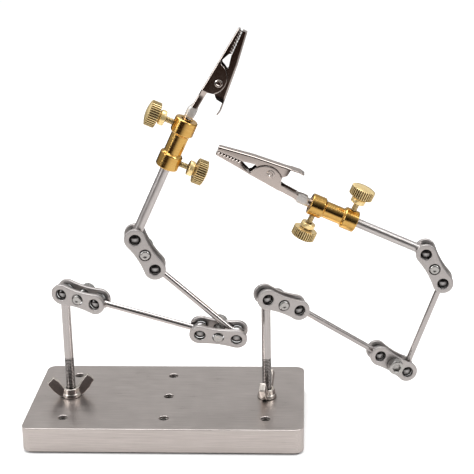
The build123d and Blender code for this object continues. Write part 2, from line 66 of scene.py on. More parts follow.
# Threads, number 10 with 32 turns to the inch. A tapped hole's thread is a thin sleeve in its wall.
THREAD_PITCH = 0.794
THREAD_DEPTH = 0.36
SCREW_THREAD_DEPTH = 0.3
THREAD_SIDES = 40
SLEEVE_WALL = 0.3
SLEEVE_RADIUS = 2.465
SLEEVE_BELOW_TOP = 0.7
SLEEVE_ABOVE_BOTTOM = 0.8

# Rods and balls
BALL_RADIUS = 3.97
THICK_ROD_RADIUS = 2.38
LINK_ROD_RADIUS = 1.5875
POST_THREAD_TOP = 22.0
THREAD_RUNOUT = 0.8
POST_INSERTION = 10.0
END_ROD_INSERTION = 12.0
ROD_OVERLAP = 0.9

# Braze fillets, as (distance out from where rod and ball meet, flare)
POST_BRAZE = ((0.6, 0.0), (0.15, 0.12), (-0.25, 0.45), (-0.9, 0.0))
ROD_BRAZE = ((-0.1, 0.4), (0.25, 0.1), (0.7, 0.0))

# Wing nut: its hub as (height, radius) points, and a wing with a squared-off tip as (out, up) points
HUB_OUTLINE = [(0.15, 2.5), (0.0, 4.6), (0.6, 4.9), (1.9, 4.6),
               (2.3, 4.25), (4.7, 4.0), (5.0, 3.7), (5.0, 2.6)]
WING_CORNERS = [(3.0, 0.4), (5.9, 0.7), (9.3, 4.0), (12.2, 8.5),
                (8.8, 11.8), (6.6, 9.6), (3.8, 5.4), (3.0, 4.6)]
WING_CORNER_RADIUS = 0.9
WING_THICKNESS = 3.2
WING_EDGE_RADIUS = 0.45
NUT_VOXEL = 0.15
NUT_SMOOTHING = 3

# Ball clamps
PLATE_HALF_GAP = 2.85
PLATE_THICKNESS = 2.0
PLATE_END_RADIUS = 5.3
PLATE_WAIST_HALF_WIDTH = 4.4
PLATE_EDGE_RADIUS = 0.4
BALL_HOLE_RADIUS = 2.8
SCREW_HOLE_RADIUS = 2.75
SCREW_RADIUS = 2.38
SCREW_STANDOUT = 0.8
SCREW_HEAD_RADIUS = 3.96
SCREW_HEAD_HEIGHT = 4.76
HEX_APOTHEM = 1.98
HEX_DEPTH = 2.4
SCREW_RIDGES = 36
SCREW_RIDGE_DEPTH = 0.14
SCREW_HEAD_GAP = 0.04

# Coupling and thumb screws
COUPLING_LENGTH = 25.4
COUPLING_END_LENGTH = 8.0
COUPLING_END_RADIUS = 5.55
COUPLING_WAIST_RADIUS = 4.35
COUPLING_BORE_RADIUS = 2.44
THUMB_SHANK_RADIUS = 1.5
THUMB_FLANGE_BOTTOM = 9.7
THUMB_FLANGE_TOP = 12.3
THUMB_FLANGE_RADIUS = 3.7
THUMB_NECK_RADIUS = 2.9
THUMB_HEAD_BOTTOM = 13.2
THUMB_KNURL_TOP = 18.2
THUMB_CROWN = 19.2
THUMB_HEAD_RADIUS = 6.2
THUMB_DOME_RADIUS = 5.6
THUMB_THREAD_PITCH = 0.7
THUMB_THREAD_DEPTH = 0.26
THUMB_TIP_GAP = 0.1
THUMB_RIDGES = 34
THUMB_RIDGE_DEPTH = 0.6

# Clip: x runs from the coupling to the nose and z points to the moving jaw
SHEET = 0.7
BEND_RADIUS = 0.8
RIM_ROUND = 0.26
CLIP_BEVEL = 0.08
TANG_START = -7.5
TANG_END = 1.4
TANG_RADIUS = 2.3
SEAM_HALF_ANGLE = 0.18
CRIMP_START = 0.9
CRIMP_END = 8.5
CRIMP_BEND = 2.2
FLOOR_START = (8.0, -0.6)
FLOOR_END = (53.4, 4.8)
EAR_CENTRE = (25.4, 1.8)
EAR_RADIUS = 8.9
EAR_BACK_X = 18.4
EAR_FRONT_X = 33.9
TEETH_START_X = 40.0
TEETH_END_X = 52.8
TOOTH_COUNT = 8
FIXED_TEETH = (6.0, 7.3)
MOVING_TEETH = (7.15, 7.45)
PIVOT = (24.5, 7.2)
RIVET_RADIUS = 1.5
RIVET_HEAD_RADIUS = 2.0
NECK_HALF_WIDTH = 2.7
EAR_HALF_WIDTH = 3.6
MOVING_HALF_WIDTH = 2.75
NOSE_HALF_WIDTH = 2.3
LEVER_HALF_WIDTH = 3.3
LOBE_RADIUS = 3.8
NECK_RIM = [(FLOOR_START[0], 2.7), (17.4, 3.7), (18.0, 5.2), (EAR_BACK_X, 7.3)]
THROAT_RIM = [(EAR_FRONT_X, 4.44), (35.1, 3.68), (TEETH_START_X, FIXED_TEETH[0])]
LEVER_RIM = [(8.8, 12.5), (11.3, 13.05), (16.0, 12.7), (16.4, 9.4), (17.2, 8.4), (21.46, 4.92)]
MOUTH_RIM = [(27.54, 4.92), (33.5, 8.4), (TEETH_START_X, MOVING_TEETH[0])]
MOVING_BACK = [(8.8, 13.2), (11.3, 13.75), (16.0, 13.4), (36.0, 11.9), (53.4, 9.55)]
SPRING_TURNS = 3.5
SPRING_PITCH = 0.8
SPRING_COIL_RADIUS = 2.2
SPRING_WIRE_RADIUS = 0.35
SPRING_LEG_OVERLAP = 0.12
LOWER_LEG = (-8.8, -3.2)
UPPER_LEG = (-9.0, 2.6)

# Studio, in metres, degrees and a lens in millimetres
FLOOR_REACH = 12.0
LIGHT_TARGET = (0, 0, 0.1)
CAMERA_PLACE = (0.0726, -0.6036, 0.30015)
CAMERA_YAW = -3.379
CAMERA_PITCH = 18.283
CAMERA_ROLL = -1.155
CAMERA_LENS = 97.7


# ---------- frames from the joints

def joint_place(name):
    return Vector(JOINTS[name]["pos_m"])


def joint_axis(name):
    return Vector(JOINTS[name]["axis"]).normalized()


def frame_at(origin, z_direction, x_hint):
    """A frame with its z along z_direction and its x as near to x_hint as that allows."""
    z = z_direction.normalized()
    x = (x_hint - z * x_hint.dot(z)).normalized()
    y = z.cross(x)
    turn = Matrix((x, y, z)).transposed().to_4x4()
    return Matrix.Translation(origin) @ turn


def box_centre(node):
    low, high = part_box(node)
    return (low + high) / 2


# ---------- mesh helpers

def shell_from(bm):
    """(points, faces) of a bmesh, which is then freed."""
    bm.verts.index_update()
    points = [tuple(v.co) for v in bm.verts]
    faces = [tuple(v.index for v in f.verts) for f in bm.faces]
    bm.free()
    return points, faces


def bmesh_from(shell):
    points, faces = shell
    bm = bmesh.new()
    verts = [bm.verts.new(p) for p in points]
    for face in faces:
        bm.faces.new([verts[i] for i in face])
    return bm


def cleaned(shell):
    """The shell with coincident points merged, empty faces removed and normals facing out."""
    bm = bmesh_from(shell)
    bmesh.ops.remove_doubles(bm, verts=bm.verts, dist=MERGE_DISTANCE)
    bmesh.ops.dissolve_degenerate(bm, edges=bm.edges, dist=MERGE_DISTANCE)
    bmesh.ops.recalc_face_normals(bm, faces=bm.faces)
    return shell_from(bm)


def joined(*shells):
    points = []
    faces = []
    for shell_points, shell_faces in shells:
        start = len(points)
        points += shell_points
        faces += [tuple(start + i for i in face) for face in shell_faces]
    return points, faces


def moved(shell, matrix):
    points, faces = shell
    return [tuple(matrix @ Vector(p)) for p in points], faces


def grid_faces(rows, columns, wrap):
    """Quads between the rows of a grid of points, closed round each row where wrap is true."""
    faces = []
    for i in range(rows - 1):
        for j in range(columns if wrap else columns - 1):
            k = (j + 1) % columns
            faces.append((i * columns + j, i * columns + k, (i + 1) * columns + k, (i + 1) * columns + j))
    return faces


def ringed(points, count, capped=True):
    """A surface over rings of count points, with flat ends if capped."""
    faces = grid_faces(len(points) // count, count, True)
    if capped:
        last = len(points) - count
        faces += [tuple(reversed(range(count))), tuple(range(last, last + count))]
    return cleaned((points, faces))


def lathe(outline, segments=64, closed=False):
    """Turns (height, radius) points about z. A radius may be a function of the angle, for knurls and
    sockets. Open outlines are capped at both ends; a closed outline makes a ring."""
    rings = outline + outline[:1] if closed else outline
    points = []
    for height, radius in rings:
        for j in range(segments):
            angle = 2 * math.pi * j / segments
            r = radius(angle) if callable(radius) else radius
            points.append((r * math.cos(angle), r * math.sin(angle), height))
    return ringed(points, segments, not closed)


def rounded(outline, radius, steps=3):
    """The outline with each inner corner rounded by an arc-like curve that starts radius away."""
    result = [outline[0]]
    for before, corner, after in zip(outline, outline[1:], outline[2:]):
        a, b, c = Vector(before), Vector(corner), Vector(after)
        reach = min(radius, 0.45 * (a - b).length, 0.45 * (c - b).length)
        start = b + (a - b).normalized() * reach
        end = b + (c - b).normalized() * reach
        for i in range(steps + 1):
            t = i / steps
            point = start * (1 - t) ** 2 + b * 2 * t * (1 - t) + end * t ** 2
            result.append(tuple(point))
    result.append(outline[-1])
    return result


def arc(centre, radius, start, end, steps):
    """Points (along, across) on an arc, with angles in degrees."""
    points = []
    for i in range(steps + 1):
        angle = math.radians(start + (end - start) * i / steps)
        points.append((centre[0] + radius * math.cos(angle), centre[1] + radius * math.sin(angle)))
    return points


def knurled(radius, depth, ridges):
    """A radius with flat-topped straight ridges round it."""
    def at(angle):
        share = (angle * ridges / (2 * math.pi)) % 1
        from_middle = abs(share - 0.5)
        return radius - depth * min(1, max(0, (from_middle - 0.2) / 0.12))
    return at


def hexagon(apothem):
    """The radius of a hexagon at an angle."""
    def at(angle):
        return apothem / math.cos((angle + math.pi / 6) % (math.pi / 3) - math.pi / 6)
    return at


def spiral(bottom, top, radii, pitch):
    """Points of a threaded surface: rows climb one pitch a turn and take their radii in order."""
    rows_per_turn = len(radii)
    rows = round((top - bottom) / pitch * rows_per_turn) + 1
    points = []
    for i in range(rows):
        for j in range(THREAD_SIDES + 1):
            angle = 2 * math.pi * j / THREAD_SIDES
            height = bottom + pitch * (i / rows_per_turn + j / THREAD_SIDES - 1)
            r = radii[i % rows_per_turn]
            points.append((r * math.cos(angle), r * math.sin(angle), height))
    return points, grid_faces(rows, THREAD_SIDES + 1, False)


def close_with_fan(bm, edges):
    height = sum(e.verts[0].co.z for e in edges) / len(edges)
    centre = bm.verts.new((0, 0, height))
    for edge in edges:
        bm.faces.new((edge.verts[0], edge.verts[1], centre))


def close_with_ring(bm, edges):
    bmesh.ops.bridge_loops(bm, edges=edges)


def closed_tube(shell, middle, close):
    """A tube along z, with close called on the open edges below and above its middle."""
    bm = bmesh_from(shell)
    bmesh.ops.remove_doubles(bm, verts=bm.verts, dist=MERGE_DISTANCE)
    for low_end in (True, False):
        close(bm, [e for e in bm.edges if e.is_boundary and (e.verts[0].co.z < middle) == low_end])
    bmesh.ops.recalc_face_normals(bm, faces=bm.faces)
    return shell_from(bm)


def closed_thread(bottom, top, radius, depth=THREAD_DEPTH, pitch=THREAD_PITCH):
    """A solid threaded rod, whose lowest turn starts a pitch below bottom. Its ends are closed by fans,
    and are meant to lie inside other solids."""
    root = radius - depth
    surface = spiral(bottom, top, (root, root, radius, radius), pitch)
    return closed_tube(surface, (bottom + top) / 2, close_with_fan)


def tapped_sleeve(bottom, top):
    """The thread inside a tapped hole, as a thin closed sleeve set into the hole's wall."""
    crest = SLEEVE_RADIUS
    root = crest - THREAD_DEPTH
    inner = spiral(bottom, top, (root, root, crest, crest), THREAD_PITCH)
    outer = spiral(bottom, top, (crest + SLEEVE_WALL,) * 4, THREAD_PITCH)
    return closed_tube(joined(inner, outer), (bottom + top) / 2, close_with_ring)


def circle_points(x, y, radius):
    return arc((x, y), radius, 0, 360, 48)[:-1]


def evaluated_shell(data, change=None):
    """The (points, faces) that a curve or mesh comes out as. change may add modifiers to its object."""
    holder = bpy.data.objects.new(data.name, data)
    bpy.context.scene.collection.objects.link(holder)
    if change:
        change(holder)
    bpy.context.view_layer.update()
    graph = bpy.context.evaluated_depsgraph_get()
    mesh = bpy.data.meshes.new_from_object(holder.evaluated_get(graph))
    shell = [tuple(v.co) for v in mesh.vertices], [tuple(p.vertices) for p in mesh.polygons]
    bpy.data.objects.remove(holder)
    bpy.data.meshes.remove(mesh)
    return shell


def flat_shape(loops, bottom, top, edge_radius, steps=2):
    """A flat piece with holes, from closed loops of (x, y) points, with rounded edges on both faces."""
    curve = bpy.data.curves.new("outline", "CURVE")
    curve.dimensions = "2D"
    curve.fill_mode = "BOTH"
    curve.extrude = (top - bottom) / 2 - edge_radius
    curve.bevel_depth = edge_radius
    curve.bevel_resolution = steps
    curve.offset = -edge_radius
    for loop in loops:
        spline = curve.splines.new("POLY")
        spline.points.add(len(loop) - 1)
        for point, (x, y) in zip(spline.points, loop):
            point.co = (x, y, 0, 1)
        spline.use_cyclic_u = True
    points, faces = evaluated_shell(curve)
    bpy.data.curves.remove(curve)
    return cleaned(([(x, y, z + (bottom + top) / 2) for x, y, z in points], faces))


def tube(path, radius, sides=12):
    """A round wire along a path of points."""
    points = []
    normal = None
    for i, here in enumerate(path):
        point = Vector(here)
        before = Vector(path[max(i - 1, 0)])
        after = Vector(path[min(i + 1, len(path) - 1)])
        along = (after - before).normalized()
        if normal is None:
            normal = along.orthogonal().normalized()
        normal = (normal - along * normal.dot(along)).normalized()
        side = along.cross(normal)
        for j in range(sides):
            angle = 2 * math.pi * j / sides
            points.append(tuple(point + radius * (math.cos(angle) * normal + math.sin(angle) * side)))
    return ringed(points, sides)


def add_piece(name, shell, place, body, slot, stands_for=(), bevel=0.0, sharp_angle=32, look=None):
    """Makes an object from a shell in millimetres, sets it in its frame and ties it to its CAD body.
    look names its material where that isn't its slot's."""
    points, faces = shell
    mesh = bpy.data.meshes.new(name)
    mesh.from_pydata([(x * MM, y * MM, z * MM) for x, y, z in points], [], faces)
    mesh.validate()
    mesh.update()
    obj = bpy.data.objects.new(name, mesh)
    bpy.context.scene.collection.objects.link(obj)
    obj.matrix_world = place
    if bevel:
        edges = obj.modifiers.new("soft edges", "BEVEL")
        edges.width = bevel * MM
        edges.segments = 2
        edges.limit_method = "ANGLE"
        edges.angle_limit = math.radians(40)
    mesh.shade_smooth()
    mesh.set_sharp_from_angle(angle=math.radians(sharp_angle))
    mesh.materials.append(MATERIALS[look or slot])
    shading = obj.modifiers.new("even shading", "WEIGHTED_NORMAL")
    shading.keep_sharp = True
    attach(obj, body)
    if stands_for:
        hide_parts(*stands_for)


def add_node(node, shell, place, body, slot, **style):
    """A piece that stands for one CAD node."""
    add_piece(node + "_shape", shell, place, body, slot, [node], **style)


# ---------- materials

class Graph:
    """A material's nodes, with short ways to add and join them. Lengths are in millimetres."""

    def __init__(self, name):
        self.material = bpy.data.materials.new(name)
        self.material.use_nodes = True
        self.nodes = self.material.node_tree.nodes
        self.links = self.material.node_tree.links
        self.nodes.clear()
        self.shader = self.nodes.new("ShaderNodeBsdfPrincipled")
        output = self.nodes.new("ShaderNodeOutputMaterial")
        self.links.new(self.shader.outputs["BSDF"], output.inputs["Surface"])
        self.place = self.nodes.new("ShaderNodeTexCoord").outputs["Object"]

    def set(self, **values):
        """Sets or joins inputs of the shader, by name with _ for a space."""
        for key, value in values.items():
            self.feed(self.shader.inputs[key.replace("_", " ")], value)

    def feed(self, socket, value):
        if hasattr(value, "is_linked"):
            self.links.new(value, socket)
        elif isinstance(value, tuple) and len(value) == 3 and len(socket.default_value) == 4:
            socket.default_value = (*value, 1)
        else:
            socket.default_value = value

    def noise(self, per_mm, stretch=(1, 1, 1), detail=4):
        """Noise from 0 to 1 with per_mm waves to the millimetre, times stretch along each axis."""
        mapping = self.nodes.new("ShaderNodeMapping")
        mapping.inputs["Scale"].default_value = [s * per_mm / MM for s in stretch]
        self.links.new(self.place, mapping.inputs["Vector"])
        noise = self.nodes.new("ShaderNodeTexNoise")
        noise.inputs["Scale"].default_value = 1
        noise.inputs["Detail"].default_value = detail
        noise.inputs["Roughness"].default_value = 0.6
        self.links.new(mapping.outputs["Vector"], noise.inputs["Vector"])
        return noise.outputs["Fac"]

    def ramp(self, value, low, high, start=0.3, end=0.7):
        """value from start to end, turned into a number from low to high."""
        node = self.nodes.new("ShaderNodeMapRange")
        self.links.new(value, node.inputs["Value"])
        node.inputs["From Min"].default_value = start
        node.inputs["From Max"].default_value = end
        self.feed(node.inputs["To Min"], low)
        self.feed(node.inputs["To Max"], high)
        return node.outputs["Result"]

    def mix(self, share, first, second):
        """A colour between two colours."""
        node = self.nodes.new("ShaderNodeMix")
        node.data_type = "RGBA"
        self.feed(node.inputs[0], share)
        self.feed(node.inputs[6], first)
        self.feed(node.inputs[7], second)
        return node.outputs[2]

    def math(self, operation, first, second=0.0):
        node = self.nodes.new("ShaderNodeMath")
        node.operation = operation
        self.feed(node.inputs[0], first)
        self.feed(node.inputs[1], second)
        return node.outputs[0]

    def bump(self, height, depth):
        """Surface relief of depth millimetres."""
        node = self.nodes.new("ShaderNodeBump")
        node.inputs["Strength"].default_value = 1.0
        node.inputs["Distance"].default_value = depth * MM
        self.links.new(height, node.inputs["Height"])
        return node.outputs["Normal"]

    def facing(self, axis):
        """How much the surface faces either way along one of the piece's own axes, from 0 to 1."""
        parts = self.nodes.new("ShaderNodeSeparateXYZ")
        self.links.new(self.nodes.new("ShaderNodeTexCoord").outputs["Normal"], parts.inputs["Vector"])
        return self.math("ABSOLUTE", parts.outputs[axis])

    def edge(self, reach):
        """0 on open faces, rising towards 1 within reach millimetres of a sharp edge."""
        soft = self.nodes.new("ShaderNodeBevel")
        soft.samples = 6
        soft.inputs["Radius"].default_value = reach * MM
        dot = self.nodes.new("ShaderNodeVectorMath")
        dot.operation = "DOT_PRODUCT"
        self.links.new(soft.outputs["Normal"], dot.inputs[0])
        self.links.new(self.nodes.new("ShaderNodeNewGeometry").outputs["Normal"], dot.inputs[1])
        return self.ramp(dot.outputs["Value"], 0.0, 1.0, 0.985, 0.86)

    def crevice(self, reach):
        """1 in the open, falling to 0 in corners that are narrower than reach millimetres."""
        node = self.nodes.new("ShaderNodeAmbientOcclusion")
        node.samples = 4
        node.inputs["Distance"].default_value = reach * MM
        return node.outputs["AO"]


def metal(name, colour, dark, roughness, grain, stretch=(1, 1, 1), relief=0.004, spread=0.08,
          corners=(1.2, 0.15, 0.75), corner_shade=None, edge_highlight=None, cast=None, metallic=1.0):
    """A metal with fine grain along the directions that stretch leaves low, broad patches where the
    surface is duller, and painted shade in corners.

    corners gives how far in millimetres a corner is felt, how open a place is where the painted shade is
    darkest, and how open where there is none. corner_shade is the colour of that painted shade.
    edge_highlight gives the width, colour and roughness of a painted highlight along sharp edges, and cast
    the colour of painted shade and the roughness on faces square to the piece's y axis."""
    reach, closed, open_share = corners
    g = Graph(name)
    fine = g.noise(grain, stretch)
    broad = g.noise(0.12, detail=2)
    tone = g.math("MULTIPLY", g.ramp(fine, 0.0, 1.0), g.ramp(broad, 0.7, 1.0))
    unshaded = g.mix(tone, dark, colour)
    if corner_shade is None:
        corner_shade = tuple(0.1 * c for c in dark)
    # Painted shade: the colour darkens towards the corner colour in corners and crevices, by ambient
    # occlusion.
    colour_with_painted_light = g.mix(g.ramp(g.crevice(reach), 0.0, 1.0, closed, open_share), corner_shade, unshaded)
    rough = g.math("ADD", g.ramp(fine, roughness - spread / 2, roughness + spread / 2),
                   g.ramp(broad, -spread / 3, spread / 3))
    # Painted shade: faces square to the piece's y axis take the darker colour given in cast, with their own
    # roughness.
    if cast:
        face_shade_colour, cast_roughness = cast
        share = g.ramp(g.facing("Y"), 0.0, 1.0, 0.72, 0.93)
        colour_with_painted_light = g.mix(share, colour_with_painted_light, g.mix(tone, tuple(0.7 * c for c in face_shade_colour), face_shade_colour))
        rough = g.ramp(share, rough, cast_roughness, 0.0, 1.0)
    # Painted highlight: a brighter colour along sharp edges, with its own roughness.
    if edge_highlight:
        width, edge_highlight_colour, edge_roughness = edge_highlight
        share = g.edge(width)
        colour_with_painted_light = g.mix(share, colour_with_painted_light, edge_highlight_colour)
        rough = g.ramp(share, rough, edge_roughness, 0.0, 1.0)
    g.set(Base_Color=colour_with_painted_light, Metallic=metallic, Roughness=rough, Normal=g.bump(fine, relief))
    return g.material


def rubber(name):
    g = Graph(name)
    grain = g.noise(5.0)
    g.set(Base_Color=g.mix(g.ramp(grain, 0.0, 1.0), (0.012, 0.012, 0.012), (0.035, 0.034, 0.033)),
          Roughness=g.ramp(grain, 0.7, 0.9), Normal=g.bump(grain, 0.03))
    return g.material


MATERIALS = {
    "base_steel": metal("brushed base steel", (0.75, 0.69, 0.665), (0.56, 0.515, 0.49), 0.33, 3.0,
                        stretch=(0.02, 1, 1), relief=0.006),
    "pad_rubber": rubber("pad rubber"),
    # Deep painted shade round each ball where it sits in a clamp hole.
    "ball_steel": metal("polished ball steel", (0.52, 0.51, 0.51), (0.40, 0.39, 0.39), 0.16, 1.5,
                        relief=0.0005, spread=0.04, corners=(2.6, 0.62, 0.97)),
    "clamp_steel": metal("tumbled clamp steel", (0.66, 0.625, 0.615), (0.49, 0.465, 0.455), 0.36, 2.4,
                         relief=0.006),
    "screw_steel": metal("turned screw steel", (0.66, 0.65, 0.63), (0.45, 0.44, 0.43), 0.26, 3.0),
    # Painted shade on the rods where they meet the balls.
    "rod_steel": metal("ground rod steel", (0.64, 0.605, 0.595), (0.50, 0.47, 0.46), 0.19, 4.0,
                       stretch=(1, 1, 0.02), relief=0.003, corners=(1.0, 0.55, 0.93)),
    # Painted light: the end rods take a lighter, rougher copy of the rod steel, with painted shade near
    # their balls.
    "end_rod_steel": metal("rod steel painted lighter", (0.76, 0.72, 0.71), (0.60, 0.57, 0.56), 0.34, 4.0,
                           stretch=(1, 1, 0.02), relief=0.003, corners=(1.0, 0.45, 0.9)),
    # The wing nut's broad faces carry painted shade, and its edges a painted highlight.
    "nut_steel": metal("plated cast steel", (0.86, 0.81, 0.76), (0.62, 0.57, 0.52), 0.32, 1.2,
                       relief=0.012, cast=((0.36, 0.31, 0.295), 0.26),
                       edge_highlight=(0.55, (0.95, 0.91, 0.87), 0.42)),
    # The brass rims carry a painted highlight.
    "brass": metal("turned brass", (0.88, 0.57, 0.19), (0.70, 0.40, 0.10), 0.17, 3.0,
                   stretch=(0.1, 0.1, 1), relief=0.002, edge_highlight=(0.3, (1.0, 0.84, 0.52), 0.35)),
    # Painted light: a paler copy of the brass for the knurled heads, with painted shade in the knurl
    # grooves.
    "thumb_brass": metal("knurled brass", (1.0, 0.84, 0.48), (0.94, 0.68, 0.29), 0.20, 3.0,
                         stretch=(1, 1, 0.1), relief=0.002, corners=(0.85, 0.65, 0.93),
                         corner_shade=(0.10, 0.045, 0.01), metallic=0.72),
    # Brownish painted shade in the clip's corners, and a painted highlight on its edges such as the ear's
    # rim.
    "clip_nickel": metal("nickel plate", (0.66, 0.585, 0.545), (0.54, 0.475, 0.44), 0.12, 2.0,
                         relief=0.003, corner_shade=(0.10, 0.045, 0.03), edge_highlight=(0.3, (0.90, 0.87, 0.84), 0.5)),
    # Painted light: the crimp tab takes a much paler, duller copy of the clip's nickel.
    "crimp_pale_nickel": metal("crimp nickel painted pale", (0.92, 0.90, 0.88), (0.70, 0.68, 0.66), 0.52, 2.0),
}


# ---------- base

def rounded_rectangle(length, depth, radius):
    points = []
    for x, y, start in ((1, 1, 0), (-1, 1, 90), (-1, -1, 180), (1, -1, 270)):
        centre = (x * (length / 2 - radius), y * (depth / 2 - radius))
        points += arc(centre, radius, start, start + 90, 10)
    return points


def slab(node, corner_radius, edge_radius, holes=(), steps=2):
    """A rounded slab as long, deep and thick as its CAD node."""
    low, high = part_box(node)
    length, depth, _ = (high - low) / MM
    loops = [rounded_rectangle(length, depth, corner_radius), *holes]
    return flat_shape(loops, low.z / MM, high.z / MM, edge_radius, steps)


def make_base():
    cells = [(i, j) for i in (-1, 0, 1) for j in (-1, 0, 1)]
    holes = [circle_points(i * HOLE_PITCH_X, j * HOLE_PITCH_Y, HOLE_RADIUS) for i, j in cells]
    plate = slab("base_plate", BASE_CORNER_RADIUS, BASE_EDGE_RADIUS, holes, steps=3)
    add_node("base_plate", plate, Matrix.Identity(4), "base", "base_steel")
    low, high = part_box("base_plate")
    sleeve = tapped_sleeve(low.z / MM + SLEEVE_ABOVE_BOTTOM, high.z / MM - SLEEVE_BELOW_TOP)
    for i, j in cells:
        if i and not j:  # filled by a post
            continue
        place = Matrix.Translation((i * HOLE_PITCH_X * MM, j * HOLE_PITCH_Y * MM, 0))
        name = f"tapped_hole_{('middle', 'right', 'left')[i]}_{('centre', 'back', 'front')[j]}"
        add_piece(name, sleeve, place, "base", "screw_steel")
    pad = slab("base_pad", PAD_CORNER_RADIUS, PAD_EDGE_RADIUS)
    add_node("base_pad", pad, Matrix.Identity(4), "base", "pad_rubber")


# ---------- rods and balls

def ball_shell(steps=32):
    angles = [math.pi * i / steps for i in range(steps + 1)]
    return lathe([(-BALL_RADIUS * math.cos(angle), BALL_RADIUS * math.sin(angle)) for angle in angles])


def add_ball(name, centre, along, hint):
    add_node(name, ball_shell(), frame_at(centre, along, hint), name, "ball_steel")


def post_shell(ball_height):
    """A smooth rod from the top of the thread up to the ball, where a braze fillet flares out."""
    meet = ball_height - math.sqrt(BALL_RADIUS ** 2 - THICK_ROD_RADIUS ** 2)
    fillet = [(meet - out, THICK_ROD_RADIUS + flare) for out, flare in POST_BRAZE]
    smooth = lathe([
        (POST_THREAD_TOP - THREAD_RUNOUT, 0.0),
        (POST_THREAD_TOP - THREAD_RUNOUT, THICK_ROD_RADIUS - THREAD_DEPTH),
        (POST_THREAD_TOP, THICK_ROD_RADIUS),
        *fillet,
        (fillet[-1][0], 0.0),
    ], 48)
    return joined(closed_thread(-POST_INSERTION, POST_THREAD_TOP, THICK_ROD_RADIUS), smooth)


def rod_shell(length, radius, far_ball):
    """A plain rod along z from one ball's centre, with a braze fillet at each ball it meets."""
    start = BALL_RADIUS - ROD_OVERLAP
    end = length - start if far_ball else length
    meet = math.sqrt(BALL_RADIUS ** 2 - radius ** 2)
    outline = [(start, 0.0), (start, radius)]
    outline += [(meet + out, radius + flare) for out, flare in ROD_BRAZE]
    if far_ball:
        outline += [(length - meet - out, radius + flare) for out, flare in reversed(ROD_BRAZE)]
    outline += [(end, radius), (end, 0.0)]
    return lathe(outline, 48)


def make_rods(side):
    post = joint_place(f"{side}_post_turn")
    base_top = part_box("base_plate")[1].z
    ball = joint_place(f"{side}_post_tilt")
    place = Matrix.Translation((post.x, post.y, base_top))
    add_node(f"{side}_post", post_shell((ball.z - base_top) / MM), place, f"{side}_post", "rod_steel")
    up = Vector((0, 0, 1))
    add_ball(f"{side}_post_ball", ball, up, Vector((1, 0, 0)))
    for number in (1, 2):
        near = joint_place(f"{side}_rod_{number}_swing")
        far = joint_place(f"{side}_clamp_{number + 1}_swing")
        along = far - near
        place = frame_at(near, along, joint_axis(f"{side}_rod_{number}_swing"))
        rod = rod_shell(along.length / MM, LINK_ROD_RADIUS, True)
        add_node(f"{side}_link_rod_{number}", rod, place, f"{side}_link_rod_{number}", "rod_steel")
        for end, centre in (("near", near), ("far", far)):
            add_ball(f"{side}_rod_{number}_{end}_ball", centre, along, up)
    near = joint_place(f"{side}_end_rod_swing")
    along = joint_place(f"{side}_coupling_turn") - near
    place = frame_at(near, along, joint_axis(f"{side}_end_rod_swing"))
    rod = rod_shell(along.length / MM + END_ROD_INSERTION, THICK_ROD_RADIUS, False)
    add_node(f"{side}_end_rod", rod, place, f"{side}_end_rod", "rod_steel", look="end_rod_steel")
    add_ball(f"{side}_end_rod_ball", near, along, up)


# ---------- wing nut

def wing_nut_shell():
    """The hub and the wings of a wing nut about z, before they are melted together."""
    hub = lathe(HUB_OUTLINE, 72, closed=True)
    outline = rounded(WING_CORNERS, WING_CORNER_RADIUS, 4)
    flat = flat_shape([outline], -WING_THICKNESS / 2, WING_THICKNESS / 2, WING_EDGE_RADIUS)
    wing = moved(flat, Matrix.Rotation(math.pi / 2, 4, "X"))
    return joined(hub, wing, moved(wing, Matrix.Rotation(math.pi, 4, "Z")))


def melted(shell):
    """The union of a shell's closed parts as one skin, smoothed so that its corners are filleted."""
    points, faces = shell
    mesh = bpy.data.meshes.new("melt")
    mesh.from_pydata(points, [], faces)

    def add_modifiers(holder):
        remesh = holder.modifiers.new("remesh", "REMESH")
        remesh.mode = "VOXEL"
        remesh.voxel_size = NUT_VOXEL
        smooth = holder.modifiers.new("smooth", "SMOOTH")
        smooth.factor = 0.5
        smooth.iterations = NUT_SMOOTHING

    skin = evaluated_shell(mesh, add_modifiers)
    bpy.data.meshes.remove(mesh)
    return skin


def wing_heading(node, centre):
    """The direction of the wings about the vertical, from the spread of the CAD nut's points."""
    along = across = 0.0
    for vertex in frame["nodes"][node].data.vertices:
        x = vertex.co.x - centre.x
        y = vertex.co.y - centre.y
        along += x * x - y * y
        across += 2 * x * y
    return math.atan2(across, along) / 2


def make_wing_nut(side):
    centre = joint_place(f"{side}_post_turn")
    node = f"{side}_wing_nut"
    turn = Matrix.Rotation(wing_heading(node, centre), 4, "Z")
    place = Matrix.Translation((centre.x, centre.y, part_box(node)[0].z)) @ turn
    add_node(node, melted(wing_nut_shell()), place, node, "nut_steel", sharp_angle=60)


# ---------- ball clamps

def plate_outline(spacing, steps=16):
    """A figure of eight: two round ends joined by hollow sides that are tangent to them."""
    half = spacing / 2
    end = PLATE_END_RADIUS
    waist = PLATE_WAIST_HALF_WIDTH
    hollow = (waist ** 2 + half ** 2 - end ** 2) / (2 * (end - waist))
    lean = math.degrees(math.atan2(waist + hollow, half))
    right = arc((half, 0), end, lean - 180, 180 - lean, 2 * steps)
    top = arc((0, waist + hollow), hollow, -lean, lean - 180, steps)
    left = arc((-half, 0), end, lean, 360 - lean, 2 * steps)
    bottom = arc((0, -waist - hollow), hollow, 180 - lean, lean, steps)
    return right + top[1:-1] + left + bottom[1:-1]


def plate_shell(spacing):
    loops = [plate_outline(spacing), circle_points(0, 0, SCREW_HOLE_RADIUS)]
    for side in (-1, 1):
        loops.append(circle_points(side * spacing / 2, 0, BALL_HOLE_RADIUS))
    return flat_shape(loops, PLATE_HALF_GAP, PLATE_HALF_GAP + PLATE_THICKNESS, PLATE_EDGE_RADIUS, steps=3)


